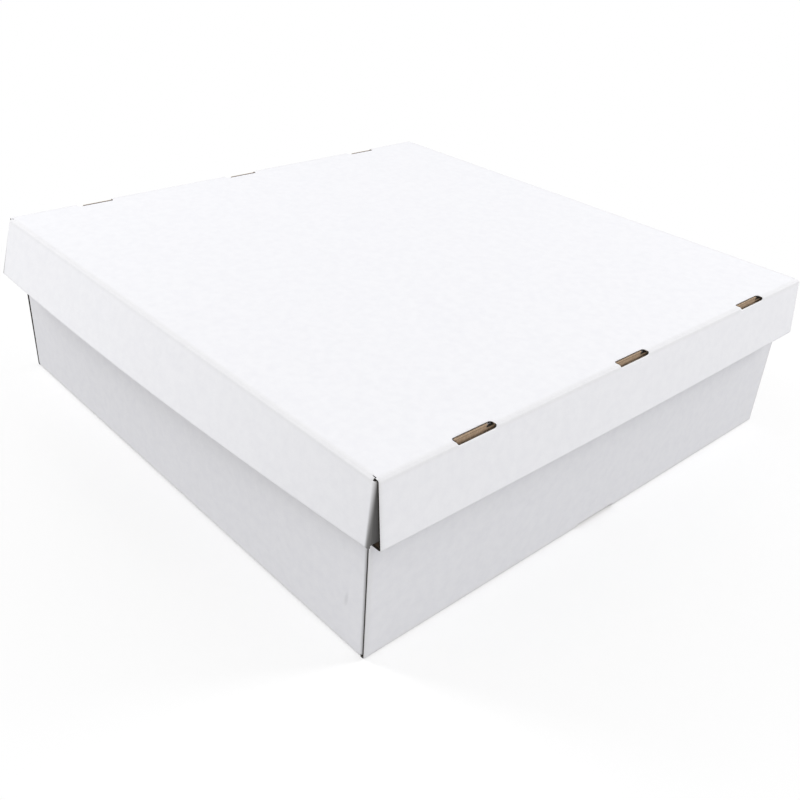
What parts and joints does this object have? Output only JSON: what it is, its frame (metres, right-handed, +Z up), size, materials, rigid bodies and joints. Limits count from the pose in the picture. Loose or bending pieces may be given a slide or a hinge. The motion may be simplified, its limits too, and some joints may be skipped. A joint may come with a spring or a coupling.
{
  "type": "cake box",
  "caption": "White corrugated cake box: an open folded tray with a separate lift-off lid, rolled-over side walls locked by tabs in slots along the folds.",
  "frame": {"origin": "centre of the tray's underside, on the surface the box stands on", "axes": "+Z up, X across the rolled walls with the slots, Y across the plain walls; the picture looks from +X and -Y"},
  "size_m": [0.5498, 0.551, 0.156],
  "materials": {
    "tray_board": "matt white liner outside, brown kraft liner inside and at the cut edges",
    "lid_board": "matt white liner outside, brown kraft liner inside and at the cut edges"
  },
  "bodies": {
    "tray": {"base_tray": "tray_board"},
    "cover": {"lid": "lid_board"}
  },
  "joints": [
    {"name": "lid_lift", "type": "slide", "parent": "tray", "child": "cover", "axis": [0, 0, 1], "range_m": [0, 0.22]}
  ]
}
